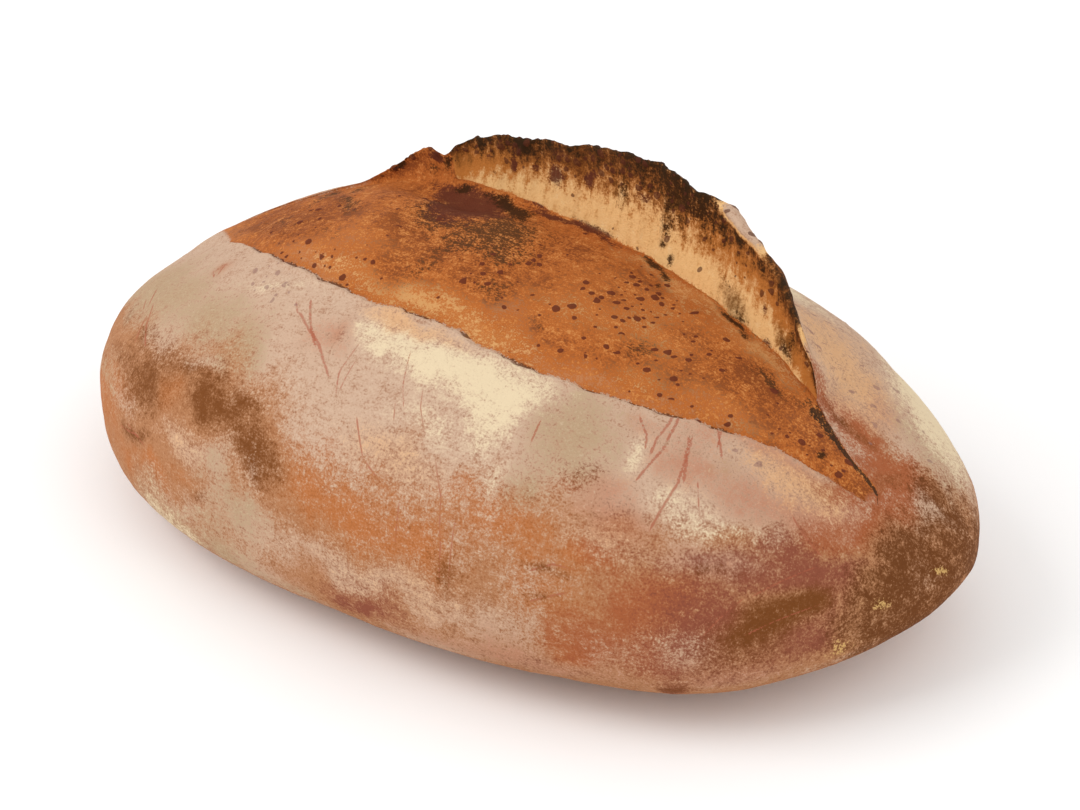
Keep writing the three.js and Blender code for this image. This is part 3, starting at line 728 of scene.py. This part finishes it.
noLip, noRoot = 40, 60    # the mm kept where the surface has no way to the lip or to the ear's root
fromLip = np.where(onFlank | onBloom, (angle - lipAngle) * perDegree, noLip)
layout["fromLip"] = fromLip
# a painted shadow line under the torn edge of the lip
layout["lipShadow"] = np.where(onFlank | onBloom, np.minimum(1, bumps(lipShadows, station)), 0)
fromRoot = np.where(onBloom, (angle - rootAngle) * perDegree, noRoot)
fromRoot = np.where(onFront, height * share, fromRoot)
fromRoot = np.where(onFlank, -noRoot, np.where(onRim, height, fromRoot))
# the left end of the ear baked like the burst beside it
layout["fromRoot"] = fromRoot - 40 * smooth(-station, 0.29, 0.38)
# the torn crumb narrows to a rounded point at the left end of the cut
leftEnd = 0.86 - 0.14 * np.abs(2 * warpedShare - 1)
burst = np.where(onBloom, smooth(openness(station), 0.01, 0.06) * smooth(station + leftEnd, -0.03, 0.05), 0)
rimFront = smooth(height, 1, 4) * (1 - pale)
layout["burst"] = np.where(onFront | onRim, rimFront, burst)
lineSets = [(name, lines, angle, perDegree, onFlank) for name, lines in scratchSets.items()]
lineSets.append(("shut", shutEdge, share, bloomWidth, onBloom))
for name, lines, around, perAround, where in lineSets:
    side, strength = lineField(lines, around, perAround)
    layout[name + "Side"] = np.where(where, side, lineForm["noLine"])
    layout[name] = np.where(where, strength, 0)
for field, places in blisterFields.items():
    shareHere = 0 * station
    for at, turn, reach, spread, strength in places:
        patch = strength * bell((station - at) / reach) * bell((angle - turn) / spread)
        shareHere = np.maximum(shareHere, patch)
    layout[field] = np.where(onBloom if field == "bloomBlisters" else onFlank | onBack, shareHere, 0)
# few of the ear's cells blistered low down, many near the rim, and fewer at the right
blistered = (0.06 + 0.6 * smooth(rimShare, 0.4, 0.75)) * (1 - 0.7 * smooth(station, 0.35, 0.5))
layout["earBlisters"] = np.where(onFront | onRim, blistered * smooth(height, 1, 4), 0)
# where each kind of relief is raised
standing = smooth(rings[..., 2] / mm, 0.3, 6)
earHere = layout["burst"] * smooth(fromRoot, 0.5, 5) * (onFront | onRim)
relief = {
    "Lump": standing, "Wrinkle": standing * (1 - 0.6 * layout["burst"]), "Tear": layout["burst"] * onBloom,
    "Streak": earHere,
    "Blister": standing * sum(layout[name] for name in ("bloomBlisters", "flourBlisters", "earBlisters")),
}
layout.update({kind + "Here": amount for kind, amount in relief.items()})
# how far along each ring a point lies from the lip, in mm
steps = np.linalg.norm(np.diff(rings, axis=1, prepend=rings[:, :1]), axis=-1).cumsum(1) / mm
lipStep = sum(ringSteps[name] for name in ("underside", "flank", "lip"))
place = np.stack([x, steps - steps[:, lipStep:lipStep + 1], 0 * x], -1) * mm

for name, values in layout.items():
    layer = mesh.attributes.new(name, "FLOAT", "POINT")
    flat = np.concatenate([values.reshape(-1), [values[0].mean(), values[-1].mean()]])
    layer.data.foreach_set("value", flat.astype(np.float32))
for name, values in (("place", place), ("rest", rings)):
    layer = mesh.attributes.new(name, "FLOAT_VECTOR", "POINT")
    flat = np.concatenate([values.reshape(-1, 3), np.stack([values[0].mean(0), values[-1].mean(0)])])
    layer.data.foreach_set("vector", flat.astype(np.float32).reshape(-1))
print("bake marks and flour laid out:", len(layout), "attributes")

# relief of the crust; each size and height is an input of the tree
reliefSetup = {
    "Lump Size": 24 * mm, "Lump Height": 1.1 * mm,
    "Wrinkle Size": 5 * mm, "Wrinkle Height": 0.4 * mm,
    "Tear Size": 6 * mm, "Tear Height": 1.3 * mm,
    "Streak Size": 3.2 * mm, "Streak Height": 0.7 * mm,
    "Blister Size": 3.2 * mm, "Blister Height": 0.45 * mm,
}
# detail, roughness, stretch and shift of the noise behind each kind
reliefNoise = {
    "Lump": (1.5, 0.5, (1, 1, 1), 0.7), "Wrinkle": (3.0, 0.6, (1, 0.8, 1), 0.31),
    "Tear": (4.0, 0.62, (1, 0.55, 1), 0.5), "Streak": (2.0, 0.5, (1, 0.22, 0.22), 0.9),
}
# radius in cells: the smallest, and what the largest adds; the dome's foot and top as shares of that radius,
# and how many times the named height it stands for each cell of radius
blisterForm = {"smallest": 0.13, "range": 0.32, "foot": 1.3, "top": 0.4, "rise": 3.0}


def blisterCells(tree, place, scale):
    # what the cell at a place drew, how far its centre is, and how large its blister would be
    cells = add(tree, "ShaderNodeTexVoronoi", {"Vector": place, "Scale": scale}, voronoi_dimensions="2D")
    drawn = add(tree, "ShaderNodeSeparateXYZ", {0: cells.outputs["Color"]}).outputs
    square = add(tree, "ShaderNodeMath", {0: drawn[1], 1: 2.0}, operation="POWER")
    radius = add(tree, "ShaderNodeMath", {
        0: square.outputs[0], 1: blisterForm["range"], 2: blisterForm["smallest"]}, operation="MULTIPLY_ADD")
    return drawn[0], cells.outputs["Distance"], radius.outputs[0]


def buildRelief(setup, material):
    tree = bpy.data.node_groups.new("crustRelief", "GeometryNodeTree")
    face = tree.interface
    face.new_socket("Geometry", in_out="INPUT", socket_type="NodeSocketGeometry")
    sockets = {name: face.new_socket(name, in_out="INPUT", socket_type="NodeSocketFloat") for name in setup}
    face.new_socket("Geometry", in_out="OUTPUT", socket_type="NodeSocketGeometry")
    given = add(tree, "NodeGroupInput").outputs
    position = add(tree, "GeometryNodeInputPosition").outputs[0]
    kinds = list(reliefNoise) + ["Blister"]
    here = {kind: add(tree, "GeometryNodeInputNamedAttribute", {"Name": kind + "Here"}, data_type="FLOAT")
            for kind in kinds}
    scale = {kind: add(tree, "ShaderNodeMath", {0: 1.0, 1: given[kind + " Size"]}, operation="DIVIDE")
             for kind in kinds}
    raised = []
    for kind, (detail, roughness, stretch, shift) in reliefNoise.items():
        at = add(tree, "ShaderNodeVectorMath", {0: position, 1: stretch, 2: (shift, 0, 0)},
                 operation="MULTIPLY_ADD")
        noise = add(tree, "ShaderNodeTexNoise", {"Vector": at.outputs[0], "Scale": scale[kind].outputs[0],
                                                 "Detail": detail, "Roughness": roughness})
        level = add(tree, "ShaderNodeMath", {0: noise.outputs[0], 1: 0.5}, operation="SUBTRACT")
        tall = add(tree, "ShaderNodeMath", {0: level.outputs[0], 1: given[kind + " Height"]},
                   operation="MULTIPLY")
        raised.append(add(tree, "ShaderNodeMath", {0: tall.outputs[0], 1: here[kind].outputs[0]},
                          operation="MULTIPLY"))

    # a blister is a low dome round the nearest cell centre, where that cell blistered at all
    along = add(tree, "GeometryNodeInputNamedAttribute", {"Name": "place"}, data_type="FLOAT_VECTOR")
    draw, distance, radius = blisterCells(tree, along.outputs[0], scale["Blister"].outputs[0])
    off = add(tree, "ShaderNodeMath", {0: distance, 1: radius}, operation="DIVIDE")
    near = add(tree, "ShaderNodeMapRange", {
        "Value": off.outputs[0], "From Min": blisterForm["foot"], "From Max": blisterForm["top"]},
        interpolation_type="SMOOTHSTEP")
    chosen = add(tree, "ShaderNodeMath", {0: draw, 1: here["Blister"].outputs[0]}, operation="LESS_THAN")
    dome = add(tree, "ShaderNodeMath", {0: near.outputs[0], 1: chosen.outputs[0]}, operation="MULTIPLY")
    tall = add(tree, "ShaderNodeMath", {0: radius, 1: given["Blister Height"]}, operation="MULTIPLY")
    tall = add(tree, "ShaderNodeMath", {0: tall.outputs[0], 1: blisterForm["rise"]}, operation="MULTIPLY")
    raised.append(add(tree, "ShaderNodeMath", {0: dome.outputs[0], 1: tall.outputs[0]}, operation="MULTIPLY"))

    total = raised[0]
    for extra in raised[1:]:
        total = add(tree, "ShaderNodeMath", {0: total.outputs[0], 1: extra.outputs[0]}, operation="ADD")
    normal = add(tree, "GeometryNodeInputNormal")
    offset = add(tree, "ShaderNodeVectorMath", {0: normal.outputs[0], "Scale": total.outputs[0]},
                 operation="SCALE")
    moved = add(tree, "GeometryNodeSetPosition", {"Geometry": given["Geometry"], "Offset": offset.outputs[0]})
    smoothed = add(tree, "GeometryNodeSetShadeSmooth", {"Geometry": moved.outputs[0]})
    real = add(tree, "GeometryNodeRealizeInstances", {"Geometry": smoothed.outputs[0]})
    dressed = add(tree, "GeometryNodeSetMaterial", {"Geometry": real.outputs[0], "Material": material})
    add(tree, "NodeGroupOutput", {"Geometry": dressed.outputs[0]})
    return tree, {name: socket.identifier for name, socket in sockets.items()}


# Wheat crust baked on the hearth: matte, browned unevenly under a rubbed film of flour, with a darker burst
# where the dough opened and an ear that charred along its rim. Some of its colour is painted light: a
# highlight along the lip, a shadow under the lip's torn edge, and shade in the pocket and the crease under
# the ear.
crustLook = {
    # the colour is mixed in stages, and each starts from a colour or from an earlier stage
    "stages": [
        ("crust", "#AB7650"), ("flour", "#C4A58D"), ("crumb", "#AE6029"), ("ear", "#E4B479"),
        ("floured", "crust"), ("torn", "crumb"), ("whole", "floured"), ("finished", "whole"),
    ],
    # size in mm, detail, roughness and stretch of each grain; flour lies in specks of about 0.4 mm
    "grains": {
        "speck": (0.7, 2.0, 0.8, (1, 1, 1)), "dab": (2.4, 4.0, 0.65, (1, 1, 1)),
        "drift": (9, 4.0, 0.6, (1, 1, 1)), "brush": (1.6, 4.0, 0.75, (0.3, 1, 1)),
        "drip": (2.2, 4.0, 0.7, (1, 0.4, 0.25)), "smear": (1.8, 3.0, 0.7, (0.3, 0.9, 1)),
        "stroke": (2.4, 3.0, 0.7, (1, 0.5, 0.3)),
    },
    # how each grain counts in the patterns that break up the marks
    "patterns": {
        "dusty": {"speck": 0.6, "dab": 0.3, "drift": 0.2, "smear": 0.3, "stroke": 0.25},
        "torn": {"speck": 0.55, "dab": 0.35, "brush": 0.35, "drift": 0.3},
        "dripping": {"speck": 0.35, "dab": 0.38, "drip": 0.52},
        "specks": {"speck": 0.9, "dab": 0.25, "smear": 0.3},
    },
    # the layers of each stage: mark, colour or earlier stage, pattern, how much the pattern counts, where the
    # layer starts and is full, and most
    "crust": [
        (None, "#98623F", "dusty", -1.0, 0.4, 1.3, 0.55),
        ("orange", "#B26A38", "dusty", -0.5, 0.05, 1.0, 0.9),
        (None, "#84502F", "specks", -1.0, 0.5, 1.7, 0.35), (None, "#CFA07B", "specks", 1.0, 0.6, 1.8, 0.35),
        ("red", "#A05834", "dusty", -0.5, 0.05, 0.9, 0.95),
        ("maroon", "#874936", "dusty", -0.55, 0.1, 1.0, 0.95),
        ("brown", "#724019", "dusty", -0.42, 0.05, 1.0, 0.97),
        ("olive", "#663815", "dusty", -0.75, 0.0, 1.1, 0.95),
        (None, "#5E3A22", "specks", -1.0, 0.8, 1.9, 0.3), (None, "#C08A66", "specks", 1.0, 0.8, 1.9, 0.25),
    ],
    "flour": [
        (None, "#AE8871", "dusty", -1.0, 0.4, 1.3, 0.4),
        ("blush", "#B57D62", "dusty", 0.7, 0.05, 0.95, 0.95),
        ("peach", "#D6A678", "dusty", 0.6, 0.15, 1.0, 0.85),
        ("grey", "#AF9474", "dusty", 0.7, 0.05, 1.0, 0.92),
        (None, "#966C50", "specks", -1.0, 0.5, 1.7, 0.35), (None, "#DAC2A8", "specks", 1.0, 0.6, 1.8, 0.35),
        # cream flour, and along the lip on the upper front a painted highlight
        ("creamAndHighlight", "#E0CCA9", "dusty", 0.6, 0.0, 0.85, 0.98),
    ],
    "crumb": [
        (None, "#7F441E", "torn", 1.0, 0.4, 1.2, 0.75),
        (None, "#CE8C4E", "torn", -1.0, 0.6, 1.3, 0.7),
        ("rosy", "#BB7E52", "torn", 1.3, 0.2, 1.3, 0.85),
        ("golden", "#D9A468", "torn", 1.1, 0.25, 1.2, 0.75),
        ("russet", "#80421D", "torn", 1.0, 0.1, 1.0, 0.88),
        ("umber", "#523218", "torn", 1.1, 0.15, 0.9, 0.92),
    ],
    "ear": [
        (None, "#C68E52", "dripping", 1.0, 0.45, 1.2, 0.7),
        (None, "#E8C592", "dripping", -1.0, 0.7, 1.3, 0.5),
        ("goldEar", "#B36B2B", "dripping", 0.5, 0.25, 0.9, 0.95),
        ("brownEar", "#683A18", "dripping", 0.55, 0.25, 0.95, 0.95),
        ("charEar", "#2A1C0B", "dripping", 0.8, 0.22, 0.9, 0.92),
        ("umber", "#73491F", "dripping", 0.5, 0.1, 1.0, 0.85),
    ],
    "floured": [
        ("flour", "flour", "dusty", 0.3, 0.0, 1.0, 0.5),
        ("flour", "flour", "dusty", 0.65, 0.2, 1.1, 0.92),
        ("gold", "#D2AA69", "dusty", 1.0, 0.4, 0.7, 0.8),
        ("scorched", "#4A2C16", "dusty", 0.6, 0.2, 0.7, 0.9),
    ],
    "torn": [
        ("fromRoot", "ear", "torn", 1.2, -0.2, 0.5, 1.0),
        # painted shade in the pocket and the crease under the ear, over dark streaks of the crumb
        ("wineAndShade", "#5A2A1C", "torn", 0.45, 0.2, 0.7, 0.92),
        ("sootAndShade", "#3A2009", "torn", 0.6, 0.12, 0.75, 0.95),
    ],
    "whole": [("opened", "torn", "dusty", 0.3, 0.25, 0.6, 1.0)],
    # The finished stage adds the lines and blisters. Each line: name, what measures the distance to it,
    # width in mm, colour, how broken it is, and most.
    "lines": [
        ("scratchLong", "scratchLongSide", 0.5, "#A2583F", 1.4, 0.7),
        ("scratchShort", "scratchShortSide", 0.5, "#A2583F", 1.4, 0.65),
        # the line along the lip is a painted shadow under its torn edge
        ("lipShadow", "fromLip", 0.75, "#5A351F", 1.3, 0.85), ("shut", "shutSide", 3.2, "#3A2412", 0.9, 0.92),
    ],
    # each kind of blister: its share of the cells, colour and most
    "blisters": [
        ("flourBlisters", "#8F6A60", 0.6), ("bloomBlisters", "#622C1A", 0.92),
        ("earBlisters", "#54291A", 0.75),
    ],
    # the mark of a cell that didn't blister, and how sharply a blister's colour ends
    "unblistered": -1, "dotSharpness": 10,
    # how far the edge of the crumb wavers, and the mm past the lip between which the crumb comes in
    "edgeWaver": 0.9, "edge": (-0.1, 0.3),
    # the flour's grain, too fine for the mesh: how strong its bump is, and how deep in mm
    "bumpStrength": 0.5, "bumpDepth": 0.2,
    "roughness": 0.85, "specular": 0.12,
}


def buildTintGroup():
    # lays one colour over another where a mark, broken up by a pattern, is strong enough
    tree = bpy.data.node_groups.new("brokenTint", "ShaderNodeTree")
    for name, kind in (("Base", "Color"), ("Tint", "Color"), ("Mark", "Float"), ("Pattern", "Float"),
                       ("Share", "Float"), ("From", "Float"), ("To", "Float"), ("Most", "Float")):
        tree.interface.new_socket(name, in_out="INPUT", socket_type="NodeSocket" + kind)
    tree.interface.new_socket("Color", in_out="OUTPUT", socket_type="NodeSocketColor")
    given = add(tree, "NodeGroupInput").outputs
    level = add(tree, "ShaderNodeMath", {0: given["Pattern"], 1: given["Share"], 2: given["Mark"]},
                operation="MULTIPLY_ADD")
    shown = add(tree, "ShaderNodeMapRange", {"Value": level.outputs[0], "From Min": given["From"],
                                             "From Max": given["To"], "To Max": given["Most"]},
                interpolation_type="SMOOTHSTEP")
    # no specks of it where there is no mark at all
    present = add(tree, "ShaderNodeMapRange", {"Value": given["Mark"], "From Max": 0.25})
    amount = add(tree, "ShaderNodeMath", {0: shown.outputs[0], 1: present.outputs[0]}, operation="MULTIPLY")
    mixed = add(tree, "ShaderNodeMix", {0: amount.outputs[0], 6: given["Base"], 7: given["Tint"]},
                data_type="RGBA")
    add(tree, "NodeGroupOutput", {"Color": mixed.outputs[2]})
    return tree


def buildCrust(look):
    material = bpy.data.materials.new("flouredWheatCrust")
    material.use_nodes = True
    tree = material.node_tree
    tree.nodes.clear()
    tint = buildTintGroup()
    rest = add(tree, "ShaderNodeAttribute", attribute_name="rest").outputs["Vector"]
    grain, pattern = {}, {}
    for number, (name, (size, detail, roughness, stretch)) in enumerate(look["grains"].items()):
        at = add(tree, "ShaderNodeVectorMath", {0: rest, 1: stretch, 2: (0.2 * number + 0.2, 0.1, 0)},
                 operation="MULTIPLY_ADD")
        noise = add(tree, "ShaderNodeTexNoise", {"Vector": at.outputs[0], "Scale": 1 / (size * mm),
                                                 "Detail": detail, "Roughness": roughness})
        grain[name] = add(tree, "ShaderNodeMapRange", {
            "Value": noise.outputs[0], "From Min": 0.3, "From Max": 0.7, "To Min": -1.0, "To Max": 1.0},
            clamp=False).outputs[0]
    for name, parts in look["patterns"].items():
        total = 0.0
        for part, weight in parts.items():
            total = add(tree, "ShaderNodeMath", {0: grain[part], 1: weight, 2: total},
                        operation="MULTIPLY_ADD").outputs[0]
        pattern[name] = total
    marks = {name: add(tree, "ShaderNodeAttribute", attribute_name=name).outputs["Fac"]
             for name in layout if not name.endswith("Here")}
    # the level of a layer that has no mark and lies everywhere
    marks[None] = 0.5

    # the crumb shows where the crust is torn open, from a slightly broken edge at the lip
    waver = add(tree, "ShaderNodeMath", {0: pattern["dusty"], 1: look["edgeWaver"], 2: marks["fromLip"]},
                operation="MULTIPLY_ADD")
    edge = add(tree, "ShaderNodeMapRange", {
        "Value": waver.outputs[0], "From Min": look["edge"][0], "From Max": look["edge"][1]},
        interpolation_type="SMOOTHSTEP")
    marks["opened"] = add(tree, "ShaderNodeMath", {0: edge.outputs[0], 1: marks["burst"]},
                          operation="MULTIPLY").outputs[0]

    fine = []
    for name, side, width, shade, broken, most in look["lines"]:
        off = add(tree, "ShaderNodeMath", {0: marks[side]}, operation="ABSOLUTE")
        shown = add(tree, "ShaderNodeMath", {0: off.outputs[0], 1: -1 / width, 2: marks[name]},
                    operation="MULTIPLY_ADD")
        marks[name + "Line"] = shown.outputs[0]
        fine.append((name + "Line", shade, "dusty", broken, 0.1, 0.5, most))

    # blisters keep the cells that raised them
    place = add(tree, "ShaderNodeAttribute", attribute_name="place").outputs["Vector"]
    draw, distance, radius = blisterCells(tree, place, 1 / reliefSetup["Blister Size"])
    inward = add(tree, "ShaderNodeMath", {0: radius, 1: distance}, operation="SUBTRACT")
    inward = add(tree, "ShaderNodeMath", {0: inward.outputs[0], 1: look["dotSharpness"]},
                 operation="MULTIPLY")
    for name, shade, most in look["blisters"]:
        chosen = add(tree, "ShaderNodeMath", {0: draw, 1: marks[name]}, operation="LESS_THAN")
        dot = add(tree, "ShaderNodeMix", {0: chosen.outputs[0], 2: look["unblistered"], 3: inward.outputs[0]})
        marks[name + "Dots"] = dot.outputs[0]
        fine.append((name + "Dots", shade, "dusty", 0.3, 0.0, 0.5, most))

    layers, colours = {**look, "finished": fine}, {}
    for stage, base in look["stages"]:
        colour = colours[base] if base in colours else linear(base)
        for mark, over, kind, counts, start, full, most in layers[stage]:
            shade = colours[over] if over in colours else linear(over)
            colour = add(tree, "ShaderNodeGroup", {
                "Base": colour, "Tint": shade, "Mark": marks[mark], "Pattern": pattern[kind],
                "Share": counts, "From": start, "To": full, "Most": most}, node_tree=tint).outputs[0]
        colours[stage] = colour

    bump = add(tree, "ShaderNodeBump", {
        "Strength": look["bumpStrength"], "Distance": look["bumpDepth"] * mm, "Height": pattern["dusty"]})
    shader = add(tree, "ShaderNodeBsdfPrincipled", {
        "Base Color": colours["finished"], "Roughness": look["roughness"], "Normal": bump.outputs[0],
        "Specular IOR Level": look["specular"]})
    add(tree, "ShaderNodeOutputMaterial", {"Surface": shader.outputs[0]})
    return material


reliefTree, sockets = buildRelief(reliefSetup, buildCrust(crustLook))
modifier = loaf.modifiers.new("crustRelief", "NODES")
modifier.node_group = reliefTree
for name, value in reliefSetup.items():
    modifier[sockets[name]] = value
graph = bpy.context.evaluated_depsgraph_get()
finished = bpy.data.meshes.new_from_object(
    loaf.evaluated_get(graph), preserve_all_data_layers=True, depsgraph=graph)
loaf.modifiers.clear()
loaf.data = finished
finished.name = "loafCrust"
print("relief raised:", len(finished.vertices), "points")

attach(loaf, "root")
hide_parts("loaf")

studio = {
    "floor": "#FEFDFC", "floorSize": 8, "world": 0.85,
    # place in metres, power and size of each soft box, and where they all point
    "lamps": {"keyLight": ((-0.7, -0.75, 1.0), 8, 0.9), "fillLight": ((1.0, 0.1, 0.8), 3, 1.2)},
    "lampAim": (0, 0, 0.05),
}


def buildStudio(setup):
    floorMesh = bpy.data.meshes.new("studioFloor")
    h = setup["floorSize"] / 2
    floorMesh.from_pydata([(-h, -h, 0), (h, -h, 0), (h, h, 0), (-h, h, 0)], [], [(0, 1, 2, 3)])
    floor = bpy.data.objects.new("studioFloor", floorMesh)
    bpy.context.scene.collection.objects.link(floor)
    # matte paper: an even pale ground that takes a soft shadow
    paper = bpy.data.materials.new("palePaper")
    paper.use_nodes = True
    shader = paper.node_tree.nodes["Principled BSDF"]
    shader.inputs["Base Color"].default_value = linear(setup["floor"])
    shader.inputs["Roughness"].default_value = 0.9
    shader.inputs["Specular IOR Level"].default_value = 0.1
    floorMesh.materials.append(paper)

    world = bpy.data.worlds.new("studioWorld")
    world.use_nodes = True
    world.node_tree.nodes["Background"].inputs["Color"].default_value = (1, 1, 1, 1)
    world.node_tree.nodes["Background"].inputs["Strength"].default_value = setup["world"]
    bpy.context.scene.world = world
    for name, (place, power, size) in setup["lamps"].items():
        lamp = bpy.data.lights.new(name, "AREA")
        lamp.energy, lamp.size = power, size
        holder = bpy.data.objects.new(name, lamp)
        holder.location = place
        towards = Vector(setup["lampAim"]) - Vector(place)
        holder.rotation_euler = towards.to_track_quat("-Z", "Y").to_euler()
        bpy.context.scene.collection.objects.link(holder)
    bpy.context.scene.view_settings.view_transform = "Standard"
    bpy.context.scene.view_settings.look = "None"


buildStudio(studio)
print("studio lit")
